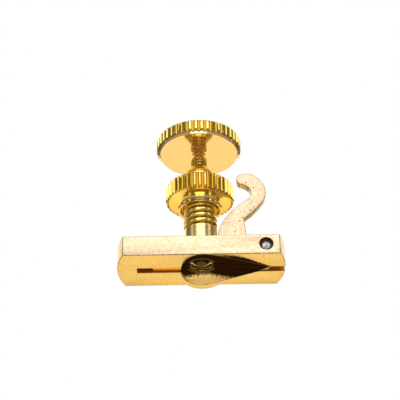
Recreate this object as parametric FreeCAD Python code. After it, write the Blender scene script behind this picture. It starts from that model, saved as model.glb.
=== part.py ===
"""Hook-type string fine tuner, gold plated, in millimetres.

The origin is the middle of the bar's underside, on the adjusting screw's axis.
+Z runs up the screw, +X points to the lever's pivot, and -Y is the front.
"""

import FreeCAD, Part
import math
import os

from FreeCAD import Vector

# Bar
BAR_LENGTH = 19.6
BAR_WIDTH = 7.5
BAR_HEIGHT = 2.5
BAR_END_RADIUS = 9.3
SLOT_WIDTH = 1.15
SLOT_START_X = -7.5
SLOT_CEILING = 2.05
RIM_LOBE_RADIUS = 2.2
RIM_LOBE_X = 0.15
RIM_LOBE_OUT = 4.75
RIM_LOBE_HEIGHT = 1.6

# Teardrop recess in the underside
RECESS_LEFT = 2.4
RECESS_HALF_WIDTH = 3.72
RECESS_SHOULDER_X = 1.6
RECESS_SHOULDER_Y = 3.3
RECESS_APEX_X = 8.4
RECESS_DEPTH = 0.65
RECESS_SHEAR = -0.05

# Threaded post
POST_RADIUS = 2.0
POST_TAPER_Z = 12.7
POST_TOP_Z = 14.0
POST_TOP_RADIUS = 1.3
SPIGOT_RADIUS = 1.7
POST_BORE_RADIUS = 1.05
WELL_RADIUS = 1.35
WELL_TOP_Z = 2.3
POST_SLOT_TOP_Z = 5.6

# Clamp nut
NUT_RADIUS = 4.1
NUT_BOTTOM_Z = 9.1
NUT_TOP_Z = 11.2
NUT_FLUTES = 40
NUT_CHAMFER = 0.3
COLLAR_RADIUS = 2.65
COLLAR_BOTTOM_Z = 7.9
NUT_BORE_RADIUS = 2.06
NUT_MOUTH_RADIUS = 2.4
NUT_MOUTH_DEPTH = 0.4

# Adjusting screw and its thumb head
SCREW_RADIUS = 1.0
TIP_RADIUS = 0.75
TIP_Z = 0.83
SHOULDER_Z = 1.98
NECK_RADIUS = 0.7
NECK_Z = 15.3
NECK_TOP_Z = 17.2
HEAD_RADIUS = 5.2
HEAD_BOTTOM_Z = 16.1
HEAD_TOP_Z = 17.9
HEAD_FLUTES = 46
HEAD_CHAMFER = 0.3
HEAD_BORE_RADIUS = 0.72
FLUTE_RADIUS = 0.16

# Hook lever and its pivot pin
PIVOT_X = 7.45
PIVOT_Z = 1.3
PIN_RADIUS = 0.6
PIN_RECESS = 0.42
PIN_CHAMFER = 0.12
COUNTERBORE_RADIUS = 0.78
COUNTERBORE_DEPTH = 0.5
LEVER_THICKNESS = 1.0
LEVER_HOLE_RADIUS = 0.63
LEVER_END_RADIUS = 1.15
LEVER_LEFT_X = -5.7
ARM_TOP_Z = 1.95
ARM_BOTTOM_Z = 0.25
EYE_RADIUS = 1.2
EYE_HOLE_RADIUS = 0.95
EYE_BOTTOM_Z = 1.05
EYE_POCKET_RADIUS = 1.34
UPRIGHT_LEFT_X = 2.0
UPRIGHT_RIGHT_X = 5.6

# Arcs of the hook's outline as (middle, end) points in X and Z, from the
# shoulder below the hook's back, over its top and tip, back to the post side.
HOOK_START = (5.2, 6.6)
HOOK_ARCS = [
    ((6.45, 7.7), (7.7, 9.2)),
    ((7.92, 10.85), (6.9, 12.5)),
    ((5.95, 12.98), (4.95, 12.88)),
    ((4.47, 12.2), (4.85, 11.52)),
    ((5.48, 11.28), (6.0, 10.8)),
    ((6.15, 10.1), (5.65, 9.25)),
    ((4.1, 8.05), (2.95, 6.7)),
    ((2.3, 5.5), (UPRIGHT_LEFT_X, 4.4)),
]

FAR = 30.0


def cylinder(radius, z_low, z_high, x=0.0, y=0.0):
    return Part.makeCylinder(radius, z_high - z_low, Vector(x, y, z_low))


def cylinder_along_y(radius, y_low, y_high, x, z):
    return Part.makeCylinder(radius, y_high - y_low, Vector(x, y_low, z), Vector(0, 1, 0))


def block(x_low, x_high, y_low, y_high, z_low, z_high):
    size = (x_high - x_low, y_high - y_low, z_high - z_low)
    return Part.makeBox(*size, Vector(x_low, y_low, z_low))


def turned(profile):
    """Solid of revolution about Z from (radius, z) points."""
    points = [Vector(radius, 0, z) for radius, z in profile]
    face = Part.Face(Part.makePolygon(points + points[:1]))
    return face.revolve(Vector(0, 0, 0), Vector(0, 0, 1), 360)


def fluted(body, radius, flutes, z_low, z_high):
    """Cut straight grooves round a turned rim."""
    grooves = []
    for index in range(flutes):
        angle = 2 * math.pi * index / flutes
        x = radius * math.cos(angle)
        y = radius * math.sin(angle)
        grooves.append(cylinder(FLUTE_RADIUS, z_low - 1, z_high + 1, x, y))
    return body.cut(Part.makeCompound(grooves))


def recess_cutter():
    """Flattened teardrop, round at the screw and pointed at the pivot."""
    ellipse = Part.Ellipse(
        Vector(0, RECESS_HALF_WIDTH, 0), Vector(-RECESS_LEFT, 0, 0), Vector(0, 0, 0)
    )
    round_end = Part.ArcOfEllipse(ellipse, 0, math.pi / 2).toShape()
    crown = Vector(0, RECESS_HALF_WIDTH, 0)
    shoulder = Vector(RECESS_SHOULDER_X, RECESS_SHOULDER_Y, 0)
    bend = Vector(0.55 * RECESS_SHOULDER_X, RECESS_HALF_WIDTH - 0.1, 0)
    apex = Vector(RECESS_APEX_X, 0, 0)
    left = Vector(-RECESS_LEFT, 0, 0)
    edges = [
        round_end,
        Part.Arc(crown, bend, shoulder).toShape(),
        Part.makeLine(shoulder, apex),
        Part.makeLine(apex, left),
    ]
    face = Part.Face(Part.Wire(Part.__sortEdges__(edges)))
    drop = face.revolve(Vector(0, 0, 0), Vector(1, 0, 0), 360)
    flatten = FreeCAD.Matrix()
    flatten.A21 = RECESS_SHEAR
    flatten.A33 = RECESS_DEPTH / RECESS_HALF_WIDTH
    return drop.transformGeometry(flatten)


def body_bar(recess):
    half_width = BAR_WIDTH / 2
    end_centre = BAR_LENGTH / 2 - BAR_END_RADIUS
    bar = block(-FAR, FAR, -half_width, half_width, 0, BAR_HEIGHT)
    bar = bar.common(cylinder(BAR_END_RADIUS, 0, BAR_HEIGHT, end_centre).fuse(
        block(-FAR, end_centre, -FAR, FAR, 0, BAR_HEIGHT)))
    bar = bar.common(cylinder(BAR_END_RADIUS, 0, BAR_HEIGHT, -end_centre).fuse(
        block(-end_centre, FAR, -FAR, FAR, 0, BAR_HEIGHT)))
    lobe_y = RIM_LOBE_OUT - RIM_LOBE_RADIUS
    bar = bar.fuse(cylinder(RIM_LOBE_RADIUS, 0, RIM_LOBE_HEIGHT, RIM_LOBE_X, lobe_y))
    half_slot = SLOT_WIDTH / 2
    cuts = [
        block(SLOT_START_X, 0, -half_slot, half_slot, -1, SLOT_CEILING),
        block(0, FAR, -half_slot, half_slot, -1, BAR_HEIGHT + 1),
        cylinder(SPIGOT_RADIUS, -1, BAR_HEIGHT + 1),
        cylinder_along_y(PIN_RADIUS, -FAR, FAR, PIVOT_X, PIVOT_Z),
        recess,
    ]
    for side in (-1, 1):
        low, high = sorted((side * (half_width - COUNTERBORE_DEPTH), side * FAR))
        cuts.append(cylinder_along_y(COUNTERBORE_RADIUS, low, high, PIVOT_X, PIVOT_Z))
    for cut in cuts:
        bar = bar.cut(cut)
    return bar.removeSplitter()


def threaded_post(recess):
    post = turned([
        (0, -1),
        (SPIGOT_RADIUS, -1),
        (SPIGOT_RADIUS, BAR_HEIGHT),
        (POST_RADIUS, BAR_HEIGHT),
        (POST_RADIUS, POST_TAPER_Z),
        (POST_TOP_RADIUS, POST_TOP_Z),
        (0, POST_TOP_Z),
    ])
    half_slot = SLOT_WIDTH / 2
    cuts = [
        block(-FAR, FAR, -FAR, FAR, -FAR, 0),
        recess,
        cylinder(POST_BORE_RADIUS, -1, POST_TOP_Z + 1),
        cylinder(WELL_RADIUS, -1, WELL_TOP_Z),
        block(-FAR, 0, -half_slot, half_slot, -1, SLOT_CEILING),
        block(0, FAR, -half_slot, half_slot, -1, POST_SLOT_TOP_Z),
    ]
    for cut in cuts:
        post = post.cut(cut)
    return post


def clamp_nut():
    nut = turned([
        (NUT_MOUTH_RADIUS, COLLAR_BOTTOM_Z),
        (COLLAR_RADIUS, COLLAR_BOTTOM_Z),
        (COLLAR_RADIUS, NUT_BOTTOM_Z),
        (NUT_RADIUS - NUT_CHAMFER, NUT_BOTTOM_Z),
        (NUT_RADIUS, NUT_BOTTOM_Z + NUT_CHAMFER),
        (NUT_RADIUS, NUT_TOP_Z - NUT_CHAMFER),
        (NUT_RADIUS - NUT_CHAMFER, NUT_TOP_Z),
        (NUT_BORE_RADIUS, NUT_TOP_Z),
        (NUT_BORE_RADIUS, COLLAR_BOTTOM_Z + NUT_MOUTH_DEPTH),
    ])
    return fluted(nut, NUT_RADIUS, NUT_FLUTES, NUT_BOTTOM_Z + 1, NUT_TOP_Z)


def adjusting_screw():
    chamfer = 0.15
    return turned([
        (0, TIP_Z),
        (TIP_RADIUS - chamfer, TIP_Z),
        (TIP_RADIUS, TIP_Z + chamfer),
        (TIP_RADIUS, SHOULDER_Z),
        (SCREW_RADIUS, SHOULDER_Z),
        (SCREW_RADIUS, NECK_Z),
        (NECK_RADIUS, NECK_Z + SCREW_RADIUS - NECK_RADIUS),
        (NECK_RADIUS, NECK_TOP_Z),
        (0, NECK_TOP_Z),
    ])


def thumb_head():
    head = turned([
        (HEAD_BORE_RADIUS, HEAD_BOTTOM_Z),
        (HEAD_RADIUS - HEAD_CHAMFER, HEAD_BOTTOM_Z),
        (HEAD_RADIUS, HEAD_BOTTOM_Z + HEAD_CHAMFER),
        (HEAD_RADIUS, HEAD_TOP_Z - HEAD_CHAMFER),
        (HEAD_RADIUS - HEAD_CHAMFER, HEAD_TOP_Z),
        (0, HEAD_TOP_Z),
        (0, NECK_TOP_Z + 0.02),
        (HEAD_BORE_RADIUS, NECK_TOP_Z + 0.02),
    ])
    return fluted(head, HEAD_RADIUS, HEAD_FLUTES, HEAD_BOTTOM_Z, HEAD_TOP_Z)


def lever_outline():
    """Closed outline in the XZ plane, on the plate's front face."""
    y = -LEVER_THICKNESS / 2

    def at(x, z):
        return Vector(x, y, z)

    edges = []
    here = at(*HOOK_START)
    for middle, end in HOOK_ARCS:
        edges.append(Part.Arc(here, at(*middle), at(*end)).toShape())
        here = at(*end)
    pivot_top = PIVOT_Z + LEVER_END_RADIUS
    pivot_bottom = PIVOT_Z - LEVER_END_RADIUS
    corners = [
        here,
        at(UPRIGHT_LEFT_X, ARM_TOP_Z),
        at(LEVER_LEFT_X, ARM_TOP_Z),
        at(LEVER_LEFT_X, ARM_BOTTOM_Z),
        at(PIVOT_X, pivot_bottom),
    ]
    for start, end in zip(corners, corners[1:]):
        edges.append(Part.makeLine(start, end))
    round_end = Part.Arc(corners[-1], at(PIVOT_X + LEVER_END_RADIUS, PIVOT_Z), at(PIVOT_X, pivot_top))
    edges.append(round_end.toShape())
    edges.append(Part.makeLine(at(PIVOT_X, pivot_top), at(UPRIGHT_RIGHT_X, pivot_top)))
    edges.append(Part.makeLine(at(UPRIGHT_RIGHT_X, pivot_top), at(*HOOK_START)))
    return Part.Wire(edges)


def hook_lever(recess):
    half = LEVER_THICKNESS / 2
    plate = Part.Face(lever_outline()).extrude(Vector(0, LEVER_THICKNESS, 0))
    plate = plate.cut(recess)
    plate = plate.cut(cylinder(EYE_POCKET_RADIUS, -1, EYE_BOTTOM_Z))
    plate = plate.fuse(cylinder(EYE_RADIUS, EYE_BOTTOM_Z, ARM_TOP_Z))
    plate = plate.cut(cylinder(EYE_HOLE_RADIUS, -1, ARM_TOP_Z + 1))
    plate = plate.cut(cylinder_along_y(LEVER_HOLE_RADIUS, -2 * half, 2 * half, PIVOT_X, PIVOT_Z))
    return plate.removeSplitter()


def pivot_pin():
    half_length = BAR_WIDTH / 2 - PIN_RECESS
    core = turned([
        (0, -half_length),
        (PIN_RADIUS - PIN_CHAMFER, -half_length),
        (PIN_RADIUS, -half_length + PIN_CHAMFER),
        (PIN_RADIUS, half_length - PIN_CHAMFER),
        (PIN_RADIUS - PIN_CHAMFER, half_length),
        (0, half_length),
    ])
    core.rotate(Vector(0, 0, 0), Vector(1, 0, 0), 90)
    core.translate(Vector(PIVOT_X, 0, PIVOT_Z))
    return core


def build():
    recess = recess_cutter()
    return {
        "body_bar": body_bar(recess),
        "threaded_post": threaded_post(recess),
        "pivot_pin": pivot_pin(),
        "clamp_nut": clamp_nut(),
        "adjusting_screw": adjusting_screw(),
        "thumb_head": thumb_head(),
        "hook_lever": hook_lever(recess),
    }


os.makedirs("parts", exist_ok=True)
for name, shape in build().items():
    if len(shape.Solids) == 1:
        shape = shape.Solids[0]
    box = shape.BoundBox
    print(name, shape.isValid(), len(shape.Solids), round(shape.Volume, 2),
          [round(v, 2) for v in (box.XMin, box.YMin, box.ZMin, box.XMax, box.YMax, box.ZMax)])
    shape.exportStep("parts/" + name + ".step")
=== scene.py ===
"""Looks of the gold-plated string fine tuner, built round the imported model, in metres."""

import math

import bmesh
import bpy
from mathutils import Matrix, Vector


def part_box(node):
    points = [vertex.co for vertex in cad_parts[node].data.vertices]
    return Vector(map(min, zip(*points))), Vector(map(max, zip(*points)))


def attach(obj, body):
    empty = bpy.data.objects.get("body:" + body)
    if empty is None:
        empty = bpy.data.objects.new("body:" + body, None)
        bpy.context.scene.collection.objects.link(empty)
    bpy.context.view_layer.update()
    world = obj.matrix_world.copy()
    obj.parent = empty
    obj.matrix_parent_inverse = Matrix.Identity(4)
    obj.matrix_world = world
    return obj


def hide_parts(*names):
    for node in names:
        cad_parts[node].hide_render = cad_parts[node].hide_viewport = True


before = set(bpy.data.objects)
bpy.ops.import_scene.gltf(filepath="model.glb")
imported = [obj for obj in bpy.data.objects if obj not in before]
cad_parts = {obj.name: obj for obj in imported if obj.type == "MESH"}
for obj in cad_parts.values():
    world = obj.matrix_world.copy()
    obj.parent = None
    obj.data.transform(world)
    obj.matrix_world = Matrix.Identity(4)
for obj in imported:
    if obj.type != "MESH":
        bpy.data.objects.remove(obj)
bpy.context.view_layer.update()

MM = 0.001

# Sizes read from the frame
BAR_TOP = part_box("body_bar")[1][2]
POST_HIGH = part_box("threaded_post")[1]
NUT_LOW, NUT_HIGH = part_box("clamp_nut")
SCREW_LOW, SCREW_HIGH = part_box("adjusting_screw")
HEAD_LOW, HEAD_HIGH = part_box("thumb_head")

# Bevels with their centre inside these limits lie round the lever's slot, in metres
SLOT_EDGE_Y = 0.75 * MM
SLOT_TOP_Z = 2.3 * MM
SLOT_END_X = -7.9 * MM

# Places that both the materials and the pieces use, in millimetres
FOOT_TOP = 5.1
WELL_RADIUS = 1.35
WELL_TOP = 2.3
RECESS_LEFT = 2.4
RECESS_HALF_WIDTH = 3.72
RECESS_APEX_X = 8.4
RECESS_SIDE_SLOPE = 0.485
RECESS_SHEAR = -0.05
PIVOT_X = 7.45
PIVOT_Z = 1.3

# Knurling and threads
HEAD_FLUTES = 46
NUT_FLUTES = 40
STEPS_PER_FLUTE = 12
SCREW_PITCH = 0.45 * MM
POST_PITCH = 0.75 * MM

# Viewpoint: the camera stands in front and below
CAMERA_AZIMUTH = math.radians(-0.87)
CAMERA_ELEVATION = math.radians(-31.77)
CAMERA_ROLL = math.radians(-1.33)
CAMERA_DISTANCE = 140.0 * MM
CAMERA_LENS = 107.03
CAMERA_SIDESTEP = -0.128 * MM
CAMERA_LIFT = 6.035 * MM


# ---------------------------------------------------------------- mesh tools

SHARP_DEGREES = 32.0


def new_object(name, mesh, sharp_degrees=SHARP_DEGREES):
    """Smooth-shaded object whose edges stay sharp above an angle."""
    for polygon in mesh.polygons:
        polygon.use_smooth = True
    mesh.set_sharp_from_angle(angle=math.radians(sharp_degrees))
    piece = bpy.data.objects.new(name, mesh)
    bpy.context.scene.collection.objects.link(piece)
    return piece


def rounded(points, fillet, steps=3, closed=False):
    """Round the corners of a profile of (radius, height) points."""
    count = len(points)
    result = []
    for index, corner in enumerate(points):
        if not closed and index in (0, count - 1):
            result.append(corner)
            continue
        corner = Vector(corner)
        before = Vector(points[index - 1]) - corner
        after = Vector(points[(index + 1) % count]) - corner
        cut = min(fillet, 0.4 * before.length, 0.4 * after.length)
        start = corner + before.normalized() * cut
        end = corner + after.normalized() * cut
        for step in range(steps + 1):
            t = step / steps
            point = start * (1 - t) ** 2 + corner * 2 * t * (1 - t) + end * t ** 2
            result.append((point.x, point.y))
    return result


def divided(points, longest, closed=False):
    """Add points so that no run of a profile is longer than the limit."""
    result = []
    pairs = list(zip(points, points[1:] + points[:1]))
    if not closed:
        pairs = pairs[:-1]
    for start, end in pairs:
        runs = max(1, math.ceil(math.dist(start, end) / longest))
        for run in range(runs):
            t = run / runs
            result.append((start[0] + (end[0] - start[0]) * t, start[1] + (end[1] - start[1]) * t))
    if not closed:
        result.append(points[-1])
    return result


def lathe(name, profile, segments, radius_at=None, closed=False):
    """Turn a profile round Z. radius_at(radius, height, angle) may change each radius."""
    bm = bmesh.new()
    rings = []
    for radius, height in profile:
        if radius < 1e-9:
            rings.append([bm.verts.new((0, 0, height))])
            continue
        ring = []
        for index in range(segments):
            angle = 2 * math.pi * index / segments
            reach = radius_at(radius, height, angle) if radius_at else radius
            ring.append(bm.verts.new((reach * math.cos(angle), reach * math.sin(angle), height)))
        rings.append(ring)
    pairs = list(zip(rings, rings[1:] + rings[:1]))
    if not closed:
        pairs = pairs[:-1]
    for low, high in pairs:
        for index in range(segments):
            following = (index + 1) % segments
            corners = [
                low[index % len(low)], low[following % len(low)],
                high[following % len(high)], high[index % len(high)],
            ]
            face = []
            for corner in corners:
                if corner not in face:
                    face.append(corner)
            if len(face) > 2:
                bm.faces.new(face)
    bmesh.ops.recalc_face_normals(bm, faces=bm.faces)
    mesh = bpy.data.meshes.new(name)
    bm.to_mesh(mesh)
    bm.free()
    return new_object(name, mesh)


def thread(root, low, high, pitch, depth, fade, half_groove=0.36):
    """Right-hand V thread with flattened crests, as a radius function.
    It leaves radii below the root alone, and half_groove is a share of the pitch."""
    def radius_at(radius, height, angle):
        if radius < root or not low < height < high:
            return radius
        phase = (height / pitch - angle / (2 * math.pi)) % 1.0
        groove = max(0.0, 1.0 - abs(phase - 0.5) / half_groove)
        groove = groove * groove * (3 - 2 * groove)
        ends = min(1.0, (height - low) / fade, (high - height) / fade)
        return radius - depth * groove * ends
    return radius_at


def fluted(outer, flutes, depth, share, least):
    """Straight grooves round a rim, as a radius function.
    Each takes a share of its step, and radii below the least stay as they are."""
    def radius_at(radius, height, angle):
        if radius < least:
            return radius
        phase = (angle * flutes / (2 * math.pi)) % 1.0
        across = abs(phase - 0.5) / (share / 2)
        groove = math.sqrt(max(0.0, 1.0 - across * across))
        return min(radius, outer - depth * groove)
    return radius_at


def eased_copy(node, edge, sharp_degrees=35.0, weld=0.01 * MM, flat_degrees=0.6):
    """Copy of a CAD node's mesh with its sharp edges rounded over.
    The rounded edges take the second material, except round the lever's slot."""
    bm = bmesh.new()
    bm.from_mesh(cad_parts[node].data)
    bmesh.ops.remove_doubles(bm, verts=bm.verts, dist=weld)
    bmesh.ops.dissolve_limit(
        bm, angle_limit=math.radians(flat_degrees), verts=bm.verts, edges=bm.edges
    )
    least_angle = math.radians(sharp_degrees)
    sharp = [e for e in bm.edges if e.is_manifold and e.calc_face_angle(0) > least_angle]
    eased = bmesh.ops.bevel(
        bm, geom=sharp, offset=edge, offset_type="OFFSET", segments=2, profile=0.6,
        affect="EDGES", clamp_overlap=False, miter_outer="SHARP"
    )
    for face in eased["faces"]:
        x, y, z = face.calc_center_median()
        in_slot = abs(y) < SLOT_EDGE_Y and z < SLOT_TOP_Z and x > SLOT_END_X
        face.material_index = 0 if in_slot else 1
    bmesh.ops.triangulate(bm, faces=[f for f in bm.faces if len(f.verts) > 4])
    mesh = bpy.data.meshes.new(node + "_eased")
    bm.to_mesh(mesh)
    bm.free()
    return new_object(node + "_eased", mesh)


def carve(piece, low, high):
    """Cut a box out of a piece."""
    bm = bmesh.new()
    bmesh.ops.create_cube(bm, size=1.0)
    for vert in bm.verts:
        vert.co = [l + (c + 0.5) * (h - l) for c, l, h in zip(vert.co, low, high)]
    mesh = bpy.data.meshes.new("cutter")
    bm.to_mesh(mesh)
    bm.free()
    cutter = bpy.data.objects.new("cutter", mesh)
    bpy.context.scene.collection.objects.link(cutter)
    cut = piece.modifiers.new("cut", "BOOLEAN")
    cut.operation = "DIFFERENCE"
    cut.solver = "EXACT"
    cut.object = cutter
    evaluated = piece.evaluated_get(bpy.context.evaluated_depsgraph_get())
    result = bpy.data.meshes.new_from_object(evaluated)
    piece.modifiers.clear()
    piece.data = result
    result.set_sharp_from_angle(angle=math.radians(SHARP_DEGREES))
    bpy.data.objects.remove(cutter)
    bpy.data.meshes.remove(mesh)


# ---------------------------------------------------------------- materials

# Colours of painted shade, the colour of small pits, and the roughness of the painted dark shade
PAINTED_SHADE_DARK = (0.03, 0.012, 0.003)
SOCKET_PAINTED_SHADE = (0.03, 0.018, 0.008)
SLOT_SHADE_ORANGE = (0.55, 0.24, 0.02)
ARM_SHADE_ORANGE = (1.0, 0.5, 0.003)
GROOVE_ROOT_SHADE = (0.46, 0.29, 0.025)
GROOVE_CREST_SHADE = (0.84, 0.62, 0.15)
SPECK = (0.35, 0.17, 0.04)
DARK_ROUGHNESS = 0.6

# How far the painted groove shade reaches past root and crest, in millimetres
GROOVE_SLACK = 0.03


class Nodes:
    """Short way to add and join shader nodes."""

    def __init__(self, name):
        self.material = bpy.data.materials.new(name)
        self.material.use_nodes = True
        self.tree = self.material.node_tree
        self.shader = self.tree.nodes["Principled BSDF"]
        self.place = self.add("ShaderNodeTexCoord").outputs["Object"]

    def add(self, kind, **inputs):
        node = self.tree.nodes.new(kind)
        for key, value in inputs.items():
            node.inputs[key.replace("_", " ")].default_value = value
        return node

    def join(self, output, socket):
        self.tree.links.new(output, socket)

    def noise(self, per_mm, detail=3.0, stretch=(1, 1, 1)):
        mapping = self.add("ShaderNodeMapping")
        mapping.inputs["Scale"].default_value = [per_mm / MM * s for s in stretch]
        self.join(self.place, mapping.inputs["Vector"])
        noise = self.add("ShaderNodeTexNoise", Scale=1.0, Detail=detail, Roughness=0.6)
        self.join(mapping.outputs["Vector"], noise.inputs["Vector"])
        return noise.outputs["Fac"]

    def ramp(self, source, stops):
        ramp = self.add("ShaderNodeValToRGB")
        self.join(source, ramp.inputs["Fac"])
        elements = ramp.color_ramp.elements
        while len(elements) < len(stops):
            elements.new(0.5)
        for element, (position, colour) in zip(elements, stops):
            element.position = position
            element.color = (*colour, 1.0)
        return ramp.outputs["Color"]

    def bump(self, heights):
        """Chain of (height source, strength, distance in mm) into the normal."""
        normal = None
        for source, strength, distance in heights:
            bump = self.add("ShaderNodeBump", Strength=strength, Distance=distance * MM)
            self.join(source, bump.inputs["Height"])
            if normal:
                self.join(normal, bump.inputs["Normal"])
            normal = bump.outputs["Normal"]
        self.join(normal, self.shader.inputs["Normal"])

    def calc(self, kind, first, second=None):
        """Math node on sockets or plain numbers."""
        node = self.tree.nodes.new("ShaderNodeMath")
        node.operation = kind
        for socket, value in zip(node.inputs, (first, second)):
            if value is None:
                continue
            if isinstance(value, (int, float)):
                socket.default_value = value
            else:
                self.join(value, socket)
        return node.outputs[0]

    def axes(self):
        """X, Y and Z on the object, in millimetres."""
        apart = self.add("ShaderNodeSeparateXYZ")
        self.join(self.place, apart.inputs["Vector"])
        return [self.calc("DIVIDE", apart.outputs[axis], MM) for axis in "XYZ"]

    def radius(self, x, y, centre=(0.0, 0.0)):
        """Distance from a centre in a plane, in millimetres."""
        squares = []
        for value, middle in ((x, centre[0]), (y, centre[1])):
            offset = self.calc("SUBTRACT", value, middle)
            squares.append(self.calc("MULTIPLY", offset, offset))
        return self.calc("SQRT", self.calc("ADD", *squares))

    def within(self, value, low, high):
        """1 where the value lies between the limits."""
        above = self.calc("GREATER_THAN", value, low)
        return self.calc("MULTIPLY", above, self.calc("LESS_THAN", value, high))

    def scaled(self, value, low, high, new_low=0.0, new_high=1.0):
        """Value brought from one range to another, and held inside it."""
        node = self.add(
            "ShaderNodeMapRange", From_Min=low, From_Max=high, To_Min=new_low, To_Max=new_high
        )
        self.join(value, node.inputs["Value"])
        return node.outputs["Result"]

    def recess_width(self, x):
        """Half width of the teardrop recess, in millimetres, and next to nothing outside it."""
        least = 0.01
        to_apex = self.calc("SUBTRACT", RECESS_APEX_X, x)
        side = self.calc("MULTIPLY", to_apex, RECESS_SIDE_SLOPE)
        end = self.calc("DIVIDE", self.calc("MINIMUM", x, 0.0), RECESS_LEFT)
        end = self.calc("SUBTRACT", 1.0, self.calc("MULTIPLY", end, end))
        end = self.calc("SQRT", self.calc("MAXIMUM", end, 0.0))
        end = self.calc("MULTIPLY", end, RECESS_HALF_WIDTH)
        return self.calc("MAXIMUM", self.calc("MINIMUM", side, end), least)

    def dark_reach(self, x, near):
        """Share of the half width that gets painted shade. The bright rim left on the far side
        stands for the lit far wall and fades out towards the point of the teardrop and round its
        left end."""
        fade_start = 1.0
        fade_end = 4.5
        widest_rim = 0.68
        no_rim = 1.3
        near_gain = 0.34
        left_gain = -0.2
        left_delay = 0.12
        reach = self.scaled(x, fade_start, fade_end, widest_rim, no_rim)
        reach = self.calc("ADD", reach, self.calc("MULTIPLY", near, near_gain))
        left_end = self.calc("SUBTRACT", self.calc("MULTIPLY", x, left_gain), left_delay)
        return self.calc("ADD", reach, self.calc("MAXIMUM", left_end, 0.0))

    def dark_extent(self, x, y, z, near):
        """1 inside the recess, apart from the far side of the well, which stays gold. On the
        near side the painted shade is smeared a little way over the flat underside."""
        underside = 0.004
        smear = 0.02
        highest = 1.5
        nearest = -3.7
        farthest = 4.0
        past_apex = 0.1
        lowest = self.calc("SUBTRACT", underside, self.calc("MULTIPLY", near, smear))
        above = self.calc("GREATER_THAN", z, lowest)
        in_height = self.calc("MULTIPLY", above, self.calc("LESS_THAN", z, highest))
        extent = self.calc("MULTIPLY", in_height, self.within(y, nearest, farthest))
        in_length = self.within(x, -RECESS_LEFT, RECESS_APEX_X + past_apex)
        extent = self.calc("MULTIPLY", extent, in_length)
        beside_well = self.calc("SUBTRACT", 1.0, self.far_well(x, y, 0.01))
        return self.calc("MULTIPLY", extent, beside_well)

    def far_well(self, x, y, slack):
        """1 on the far side of the well, in plan."""
        in_well = self.calc("LESS_THAN", self.radius(x, y), WELL_RADIUS + slack)
        return self.calc("MULTIPLY", in_well, self.calc("GREATER_THAN", y, 0.1))

    def recess_shade(self):
        """1 where shade is painted on the floor of the teardrop recess, 0 on its bright rim and
        beyond.
        """
        x, y, z = self.axes()
        near = self.calc("LESS_THAN", y, 0.0)
        across = self.calc("SUBTRACT", y, self.calc("MULTIPLY", x, RECESS_SHEAR))
        share = self.calc("DIVIDE", self.calc("ABSOLUTE", across), self.recess_width(x))
        fray_depth = 0.5
        edge_steepness = 4.5
        streaks = self.noise(3.0, detail=5.0, stretch=(1.6, 0.5, 1))
        fray = self.calc("MULTIPLY", self.calc("SUBTRACT", streaks, 0.5), fray_depth)
        frayed = self.calc("ADD", share, fray)
        floor = self.calc("SUBTRACT", self.dark_reach(x, near), frayed)
        floor = self.calc("MULTIPLY", floor, edge_steepness)
        floor = self.calc("MINIMUM", self.calc("MAXIMUM", floor, 0.0), 1.0)
        return self.calc("MULTIPLY", floor, self.dark_extent(x, y, z, near))

    def blend(self, factor, first, second):
        """Colour mix; first and second are sockets or colours."""
        mix = self.add("ShaderNodeMix")
        mix.data_type = "RGBA"
        self.join(factor, mix.inputs["Factor"])
        for key, value in (("A", first), ("B", second)):
            socket = [i for i in mix.inputs if i.name == key and i.type == "RGBA"][0]
            if isinstance(value, tuple):
                socket.default_value = (*value, 1.0)
            else:
                self.join(value, socket)
        return [o for o in mix.outputs if o.type == "RGBA"][0]

    def roughness(self, per_mm, low, high):
        """Roughness that wanders between two values."""
        stops = [(0.3, (low,) * 3), (0.7, (high,) * 3)]
        return self.ramp(self.noise(per_mm), stops)


def satin_gold(name, light, deep, painted_shades, pits=0.5, specks=0.1):
    """Plating over a bead-blasted surface: mottled, with small scattered pits, and painted shade
    on the recess floor.
    The third argument lists (mask, colour) pairs for places painted with shade."""
    m = Nodes(name)
    m.shader.inputs["Specular IOR Level"].default_value = 0.0
    mottled = m.ramp(m.noise(2.6, detail=5.0), [(0.34, deep), (0.62, light)])
    rough = m.roughness(5.0, 0.38, 0.54)
    flaws = m.add("ShaderNodeTexVoronoi", Scale=1.5 / MM, Randomness=1.0)
    m.join(m.place, flaws.inputs["Vector"])
    speck_size = m.calc("MULTIPLY", m.noise(0.35), specks)
    speck = m.calc("LESS_THAN", flaws.outputs["Distance"], speck_size)
    colour = m.blend(speck, mottled, SPECK)
    for mask, tint in painted_shades:
        colour = m.blend(mask(m), colour, tint)
    # Painted shade: the recess floor is coloured near black, matte and not metallic
    floor = m.recess_shade()
    m.join(m.blend(floor, colour, PAINTED_SHADE_DARK), m.shader.inputs["Base Color"])
    m.join(m.blend(floor, rough, (DARK_ROUGHNESS,) * 3), m.shader.inputs["Roughness"])
    metal_outside_shade = m.calc("SUBTRACT", 1.0, floor)
    m.join(metal_outside_shade, m.shader.inputs["Metallic"])
    grain = m.noise(16.0, detail=4.0)
    cells = m.add("ShaderNodeTexVoronoi", Scale=1.9 / MM, Randomness=1.0)
    m.join(m.place, cells.inputs["Vector"])
    pit = m.ramp(cells.outputs["Distance"], [(0.0, (0, 0, 0)), (0.11, (1, 1, 1))])
    m.bump([(grain, 0.35, 0.012), (pit, pits, 0.03)])
    return m.material


def groove_shade_paint(m, colour, grooves):
    """Painted shade from crest to root of grooves, deepest at the root, each given in millimetres
    as (lowest Z, highest Z, root radius, crest radius)."""
    x, y, z = m.axes()
    radius = m.radius(x, y)
    for lowest, highest, root, crest in grooves:
        groove_shade = m.blend(m.scaled(radius, crest, root), GROOVE_CREST_SHADE, GROOVE_ROOT_SHADE)
        in_depth = m.within(radius, root - GROOVE_SLACK, crest + GROOVE_SLACK)
        band = m.calc("MULTIPLY", in_depth, m.within(z, lowest, highest))
        colour = m.blend(band, colour, groove_shade)
    return colour


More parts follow.
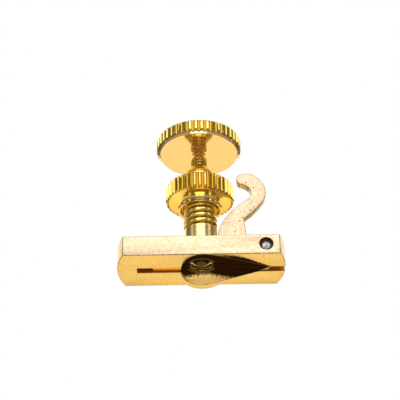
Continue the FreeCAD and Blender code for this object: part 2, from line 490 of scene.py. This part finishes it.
def polished_gold(name, light, deep, rough=(0.1, 0.2), painted_shade_below=None, grooves=()):
    """Bright plating with a trace of turning marks.
    It has painted shade below a height, in millimetres, if one is given."""
    m = Nodes(name)
    m.shader.inputs["Metallic"].default_value = 1.0
    colour = m.ramp(m.noise(1.6, detail=4.0), [(0.3, deep), (0.65, light)])
    # Painted shade in the knurl's and thread's grooves
    colour = groove_shade_paint(m, colour, grooves)
    # Painted shade on the part that sits down in the well
    if painted_shade_below:
        colour = m.blend(m.calc("LESS_THAN", m.axes()[2], painted_shade_below), colour, PAINTED_SHADE_DARK)
    m.join(colour, m.shader.inputs["Base Color"])
    m.join(m.roughness(4.0, *rough), m.shader.inputs["Roughness"])
    m.bump([(m.noise(7.0, detail=5.0, stretch=(1, 1, 3)), 0.03, 0.01)])
    return m.material


def post_finish(name, thread_colour, foot_colour, grooves):
    """Gold thread above a paler foot with fine upright streaks, with painted shade inside at its
    lower end except on the far side of the well.
    """
    m = Nodes(name)
    m.shader.inputs["Metallic"].default_value = 1.0
    x, y, z = m.axes()
    shade = tuple(0.72 * c for c in foot_colour)
    streaks = m.ramp(m.noise(3.4, stretch=(1, 1, 0.06)), [(0.35, shade), (0.62, foot_colour)])
    height = m.scaled(z, FOOT_TOP - 0.25, FOOT_TOP + 0.15)
    # Painted shade in the thread's grooves
    colour = groove_shade_paint(m, m.blend(height, streaks, thread_colour), grooves)
    # Painted shade inside the well; its far side stays gold
    in_gold = m.far_well(x, y, 0.02)
    dark = m.calc("MULTIPLY", m.calc("LESS_THAN", z, WELL_TOP), m.calc("SUBTRACT", 1.0, in_gold))
    m.join(m.blend(dark, colour, PAINTED_SHADE_DARK), m.shader.inputs["Base Color"])
    m.join(m.roughness(5.0, 0.2, 0.32), m.shader.inputs["Roughness"])
    m.bump([(m.noise(5.0, detail=5.0, stretch=(1, 1, 0.1)), 0.15, 0.012)])
    return m.material


def sheared_steel(name):
    """Rough, dull end of a cut pin."""
    m = Nodes(name)
    m.shader.inputs["Metallic"].default_value = 1.0
    stops = [(0.35, (0.16, 0.145, 0.12)), (0.6, (0.62, 0.58, 0.48))]
    m.join(m.ramp(m.noise(3.5, detail=5.0), stops), m.shader.inputs["Base Color"])
    m.join(m.roughness(6.0, 0.3, 0.5), m.shader.inputs["Roughness"])
    m.bump([(m.noise(4.0, detail=5.0), 0.9, 0.06)])
    return m.material


def dark_edge_line(name, dark, pale):
    """Uneven dark brown along an edge."""
    m = Nodes(name)
    colour = m.ramp(m.noise(1.3, detail=4.0), [(0.4, dark), (0.68, pale)])
    m.join(colour, m.shader.inputs["Base Color"])
    m.join(m.roughness(6.0, 0.6, 0.8), m.shader.inputs["Roughness"])
    return m.material


def plain(name, colour, roughness=0.9):
    """Even, dull colour for the floor."""
    material = bpy.data.materials.new(name)
    material.use_nodes = True
    shader = material.node_tree.nodes["Principled BSDF"]
    shader.inputs["Base Color"].default_value = (*colour, 1.0)
    shader.inputs["Roughness"].default_value = roughness
    return material


def slot_wall_shade(m):
    """Walls and ceiling of the bar's slot, for painted shade: the deep orange of light bounced
    inside the slot.
    """
    x, y, z = m.axes()
    in_section = m.calc("MULTIPLY", m.within(y, -0.6, 0.6), m.within(z, 0.02, 2.2))
    return m.calc("MULTIPLY", in_section, m.within(x, -7.6, 10.0))


def arm_underside_shade(m):
    """Lower edge and flanks of the lever's arm, for painted shade: the deep orange of light
    bounced inside the slot.
    """
    x, _, z = m.axes()
    return m.calc("MULTIPLY", m.calc("LESS_THAN", x, 0.0), m.calc("LESS_THAN", z, 1.0))


def pin_socket_shade(m):
    """Counterbores at the ends of the pin, for painted shade."""
    x, y, z = m.axes()
    radius = m.radius(x, z, (PIVOT_X, PIVOT_Z))
    deep = m.calc("LESS_THAN", m.calc("ABSOLUTE", y), 3.7)
    return m.calc("MULTIPLY", m.calc("LESS_THAN", radius, 0.8), deep)


# Bands that get the painted groove shade
HEAD_KNURL = (16.3, 17.9, 5.0, 5.2)
NUT_KNURL = (9.1, 11.2, 3.78, 4.1)
SCREW_THREAD = (2.1, 15.0, 0.83, 1.0)
POST_THREAD = (FOOT_TOP, 12.4, 1.7, 1.99)

# Both finishes take painted shade in the places their lists give
SATIN = satin_gold(
    "satin_gold_plate", (0.98, 0.78, 0.43), (0.89, 0.65, 0.28),
    [(slot_wall_shade, SLOT_SHADE_ORANGE), (pin_socket_shade, SOCKET_PAINTED_SHADE)],
)
HOOK_SATIN = satin_gold(
    "hook_gold_plate", (0.86, 0.69, 0.37), (0.78, 0.59, 0.28),
    [(arm_underside_shade, ARM_SHADE_ORANGE)], pits=0.8, specks=0.34,
)
EDGE = dark_edge_line("dark_edge_line", (0.24, 0.12, 0.03), (0.55, 0.34, 0.13))
HEAD_GOLD = polished_gold(
    "head_gold_plate", (1.0, 0.75, 0.52), (0.98, 0.71, 0.45), rough=(0.07, 0.13),
    grooves=[HEAD_KNURL],
)
NUT_GOLD = polished_gold(
    "nut_gold_plate", (1.0, 0.77, 0.3), (0.95, 0.7, 0.2), rough=(0.07, 0.14),
    grooves=[NUT_KNURL],
)
# The screw's tip gets painted shade below 1.9 mm, where it sits in the well
SCREW = polished_gold(
    "screw_gold_plate", (0.95, 0.7, 0.22), (0.85, 0.6, 0.12), painted_shade_below=1.9,
    grooves=[SCREW_THREAD],
)
POST = post_finish("post_gold_plate", (1.0, 0.74, 0.14), (0.9, 0.69, 0.26), [POST_THREAD])
STEEL = sheared_steel("sheared_steel")


# ---------------------------------------------------------------- pieces

def finish_piece(piece, materials, body, node):
    """Give a piece its materials and body, in place of a CAD node."""
    for material in materials:
        piece.data.materials.append(material)
    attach(piece, body)
    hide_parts(node)


def thumb_head():
    """Knurled disc, bored from below for the screw's neck."""
    radius = HEAD_HIGH[0]
    low = HEAD_LOW[2]
    high = HEAD_HIGH[2]
    bore = 0.72 * MM
    bore_top = high - 0.8 * MM
    chamfer = 0.46 * MM
    profile = [
        (bore, bore_top),
        (bore, low + 0.08 * MM),
        (bore + 0.12 * MM, low),
        (radius - chamfer, low),
        (radius, low + chamfer),
        (radius, high - 0.4 * chamfer),
        (radius - 0.4 * chamfer, high),
        (0, high),
    ]
    profile = divided(rounded(profile, 0.06 * MM), 0.2 * MM)
    profile = [(0, bore_top)] + profile
    knurl = fluted(radius, HEAD_FLUTES, 0.2 * MM, 0.66, radius - 1.5 * MM)
    head = lathe("thumb_head_disc", profile, HEAD_FLUTES * STEPS_PER_FLUTE, knurl)
    finish_piece(head, [HEAD_GOLD], "head", "thumb_head")


def clamp_nut():
    """Knurled rim above a waisted bell, with a plain bore."""
    radius = NUT_HIGH[0]
    low = NUT_LOW[2]
    high = NUT_HIGH[2]
    rim_low = high - 2.1 * MM
    bore = 2.06 * MM
    waist = [
        (2.64, 0.1), (2.46, 0.22), (2.31, 0.38), (2.26, 0.54),
        (2.3, 0.7), (2.44, 0.86), (2.7, 1.0), (3.1, 1.1),
    ]
    profile = [(2.42 * MM, low), (2.6 * MM, low)]
    profile += [(r * MM, low + z * MM) for r, z in waist]
    profile += [
        (radius - 0.12 * MM, rim_low + 0.05 * MM),
        (radius, rim_low + 0.17 * MM),
        (radius, high - 0.22 * MM),
        (radius - 0.25 * MM, high),
        (bore + 0.25 * MM, high),
        (bore, high - 0.2 * MM),
        (bore, low + 0.4 * MM),
    ]
    profile = divided(rounded(profile, 0.06 * MM, closed=True), 0.3 * MM, closed=True)
    knurl = fluted(radius, NUT_FLUTES, 0.32 * MM, 0.74, radius - 1.0 * MM)
    segments = NUT_FLUTES * STEPS_PER_FLUTE
    nut = lathe("clamp_nut_knurled", profile, segments, knurl, closed=True)
    finish_piece(nut, [NUT_GOLD], "nut", "clamp_nut")


def adjusting_screw():
    """Screw with a plain tip below its thread and a plain neck above it."""
    low = SCREW_LOW[2]
    high = SCREW_HIGH[2]
    tip = 0.75 * MM
    shank = SCREW_HIGH[0]
    neck = 0.7 * MM
    shoulder = low + 1.15 * MM
    neck_low = high - 1.9 * MM
    profile = rounded([
        (0, low),
        (tip - 0.15 * MM, low),
        (tip, low + 0.15 * MM),
        (tip, shoulder),
        (shank, shoulder),
        (shank, neck_low),
        (neck, neck_low + 0.35 * MM),
        (neck, high),
        (0, high),
    ], 0.06 * MM)
    profile = divided(profile, 0.045 * MM)
    cut = thread(
        0.95 * MM, shoulder + 0.1 * MM, neck_low + 0.05 * MM,
        SCREW_PITCH, depth=0.17 * MM, fade=0.2 * MM,
    )
    screw = lathe("adjusting_screw_threaded", profile, 64, cut)
    finish_piece(screw, [SCREW], "screw", "adjusting_screw")


def far_outline(x):
    """Far side of the teardrop recess at an X, in millimetres, measured from its middle line."""
    if x < 0:
        return RECESS_HALF_WIDTH * math.sqrt(max(0.0, 1 - (x / RECESS_LEFT) ** 2))
    return min(RECESS_HALF_WIDTH, (RECESS_APEX_X - x) * RECESS_SIDE_SLOPE)


def recess_bank():
    """Sloping far side of the recess, from its floor up to its rim."""
    first = -2.2
    last = 6.2
    stations = 72
    rows = 8
    ceiling = 0.652
    lip = 0.03
    narrowest = 0.46
    left_taper = 0.2
    right_taper = 0.6
    overlap = 0.03
    back = 0.02
    points = []
    for station in range(stations + 1):
        along = station / stations
        x = first + (last - first) * along
        middle = RECESS_SHEAR * x
        outer = far_outline(x)
        ends = min(1.0, along / left_taper, (1 - along) / right_taper)
        inner = outer * (1 - (1 - narrowest) * math.sin(ends * math.pi / 2))
        section = [(inner, ceiling)]
        for row in range(1, rows + 1):
            t = row / rows
            section.append((inner + (outer - inner) * t, ceiling - (ceiling - lip) * t ** 1.4))
        section.append((outer + overlap, lip))
        section.append((outer + overlap, ceiling + back))
        section.append((inner, ceiling + back))
        points.append([(x * MM, (middle + y) * MM, z * MM) for y, z in section])
    count = len(points[0])
    faces = []
    for station in range(stations):
        for index in range(count):
            following = (index + 1) % count
            start = station * count
            faces.append((start + index, start + following,
                          start + count + following, start + count + index))
    faces.append(tuple(range(count)))
    faces.append(tuple(reversed(range(stations * count, (stations + 1) * count))))
    mesh = bpy.data.meshes.new("recess_bank")
    mesh.from_pydata([point for section in points for point in section], [], faces)
    bm = bmesh.new()
    bm.from_mesh(mesh)
    bmesh.ops.recalc_face_normals(bm, faces=bm.faces)
    bm.to_mesh(mesh)
    bm.free()
    bank = new_object("recess_bank", mesh, sharp_degrees=50.0)
    mesh.materials.append(SATIN)
    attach(bank, "frame")


def eased_nodes():
    """The pieces that keep their CAD shape, with eased edges."""
    for node, body, slot, materials, edge in (
        ("body_bar", "frame", "satin_gold", [SATIN, EDGE], 0.06 * MM),
        ("hook_lever", "lever", "satin_gold", [HOOK_SATIN, EDGE], 0.065 * MM),
        ("pivot_pin", "frame", "steel", [STEEL, STEEL], 0.05 * MM),
    ):
        finish_piece(eased_copy(node, edge), materials, body, node)


def threaded_post():
    """Spigot, smooth foot and thread in one tube, with the lever's slot cut through."""
    outer = POST_HIGH[0]
    top = POST_HIGH[2]
    bore = 1.05 * MM
    well = WELL_RADIUS * MM
    spigot = 1.7 * MM
    well_top = WELL_TOP * MM
    taper = 12.7 * MM
    floor = 0.61 * MM
    profile = rounded([
        (well, floor),
        (spigot, floor),
        (spigot, BAR_TOP),
        (outer, BAR_TOP),
        (outer, taper - 0.2 * MM),
        (1.8 * MM, taper + 0.35 * MM),
        (1.45 * MM, taper + 0.8 * MM),
        (bore + 0.2 * MM, top - 0.2 * MM),
        (bore + 0.08 * MM, top),
        (bore, top - 0.1 * MM),
        (bore, well_top),
        (well, well_top),
    ], 0.07 * MM, closed=True)
    profile = divided(profile, 0.06 * MM, closed=True)
    cut = thread(
        1.9 * MM, FOOT_TOP * MM, taper - 0.3 * MM, POST_PITCH, depth=0.3 * MM, fade=0.35 * MM
    )
    post = lathe("threaded_post_tube", profile, 128, cut, closed=True)
    half_slot = 0.575 * MM
    beyond = 3 * MM
    below = -1 * MM
    left_slot_top = 2.05 * MM
    right_slot_top = 5.6 * MM
    carve(post, (-beyond, -half_slot, below), (0.1 * MM, half_slot, left_slot_top))
    carve(post, (0, -half_slot, below), (beyond, half_slot, right_slot_top))
    finish_piece(post, [POST], "frame", "threaded_post")


thumb_head()
clamp_nut()
adjusting_screw()
eased_nodes()
recess_bank()
threaded_post()


# ---------------------------------------------------------------- stage and light

FLOOR_Z = -0.26
FLOOR_SIZE = 3.0
CENTRE = (0.0, 0.0, 8.0 * MM)


def floor():
    """Square floor far below the object."""
    half = FLOOR_SIZE / 2
    corners = [(-half, -half), (half, -half), (half, half), (-half, half)]
    mesh = bpy.data.meshes.new("floor")
    mesh.from_pydata([(x, y, FLOOR_Z) for x, y in corners], [], [(0, 1, 2, 3)])
    piece = bpy.data.objects.new("floor", mesh)
    bpy.context.scene.collection.objects.link(piece)
    mesh.materials.append(plain("warm_floor", (0.8, 0.72, 0.52)))


def softbox(name, place, width, height, brightness, colour):
    """Rectangular light turned to the object's centre, as bright at any size."""
    data = bpy.data.lights.new(name, "AREA")
    data.shape = "RECTANGLE"
    data.size = width
    data.size_y = height
    data.energy = brightness * math.pi * width * height
    data.color = colour
    light = bpy.data.objects.new(name, data)
    bpy.context.scene.collection.objects.link(light)
    turn = (Vector(CENTRE) - Vector(place)).to_track_quat("-Z", "Y").to_matrix().to_4x4()
    light.matrix_world = Matrix.Translation(place) @ turn


floor()
# Lights as name, place, width, height, brightness and colour
LIGHTS = (
    ("key", (0.0, -0.25, 0.19), 0.3, 0.26, 2.0, (1.0, 0.95, 1.3)),
    ("left_strip", (-0.22, -0.12, 0.13), 0.05, 0.3, 1.1, (1.0, 1.0, 1.0)),
    ("right_strip", (0.22, -0.12, 0.13), 0.05, 0.3, 1.6, (1.0, 1.0, 1.0)),
    ("left_side", (-0.28, 0.05, -0.02), 0.1, 0.16, 0.5, (1.0, 0.97, 0.9)),
    ("right_side", (0.28, 0.05, -0.02), 0.1, 0.16, 0.6, (1.0, 0.97, 0.9)),
    ("under_back", (0.0, 0.19, -0.145), 0.5, 0.22, 0.88, (1.0, 0.77, 0.29)),
    ("under_front", (0.0, -0.12, -0.21), 0.14, 0.07, 1.7, (1.0, 0.93, 0.75)),
    ("back_above", (0.0, 0.25, 0.16), 0.8, 0.24, 1.35, (1.0, 0.98, 0.95)),
    ("top", (0.0, 0.05, 0.3), 0.3, 0.2, 0.7, (1.0, 1.0, 1.0)),
)
for light in LIGHTS:
    softbox(*light)


def pale_world(seen, shed):
    """White behind the object, with less light shed on it."""
    world = bpy.data.worlds.new("pale_world")
    world.use_nodes = True
    tree = world.node_tree
    background = tree.nodes["Background"]
    background.inputs["Color"].default_value = (1.0, 1.0, 1.0, 1.0)
    path = tree.nodes.new("ShaderNodeLightPath")
    level = tree.nodes.new("ShaderNodeMapRange")
    level.inputs["To Min"].default_value = shed
    level.inputs["To Max"].default_value = seen
    tree.links.new(path.outputs["Is Camera Ray"], level.inputs["Value"])
    tree.links.new(level.outputs["Result"], background.inputs["Strength"])
    bpy.context.scene.world = world


pale_world(1.0, 0.18)
bpy.context.scene.view_settings.view_transform = "Standard"


# ---------------------------------------------------------------- camera

def make_camera():
    """Camera on a circle round the top of the bar, shifted and rolled a little."""
    back = Vector((
        math.sin(CAMERA_AZIMUTH) * math.cos(CAMERA_ELEVATION),
        -math.cos(CAMERA_AZIMUTH) * math.cos(CAMERA_ELEVATION),
        math.sin(CAMERA_ELEVATION),
    ))
    level = Vector((math.cos(CAMERA_AZIMUTH), math.sin(CAMERA_AZIMUTH), 0))
    upright = back.cross(level)
    right = math.cos(CAMERA_ROLL) * level + math.sin(CAMERA_ROLL) * upright
    up = -math.sin(CAMERA_ROLL) * level + math.cos(CAMERA_ROLL) * upright
    origin = Vector((0, 0, BAR_TOP))
    data = bpy.data.cameras.new("camera")
    data.lens = CAMERA_LENS
    data.sensor_width = 36.0
    data.clip_start = 0.005
    camera = bpy.data.objects.new("camera", data)
    bpy.context.scene.collection.objects.link(camera)
    turn = Matrix((right, up, back)).transposed()
    place = origin + back * CAMERA_DISTANCE + right * CAMERA_SIDESTEP + up * CAMERA_LIFT
    camera.matrix_world = Matrix.Translation(place) @ turn.to_4x4()
    bpy.context.scene.camera = camera


make_camera()
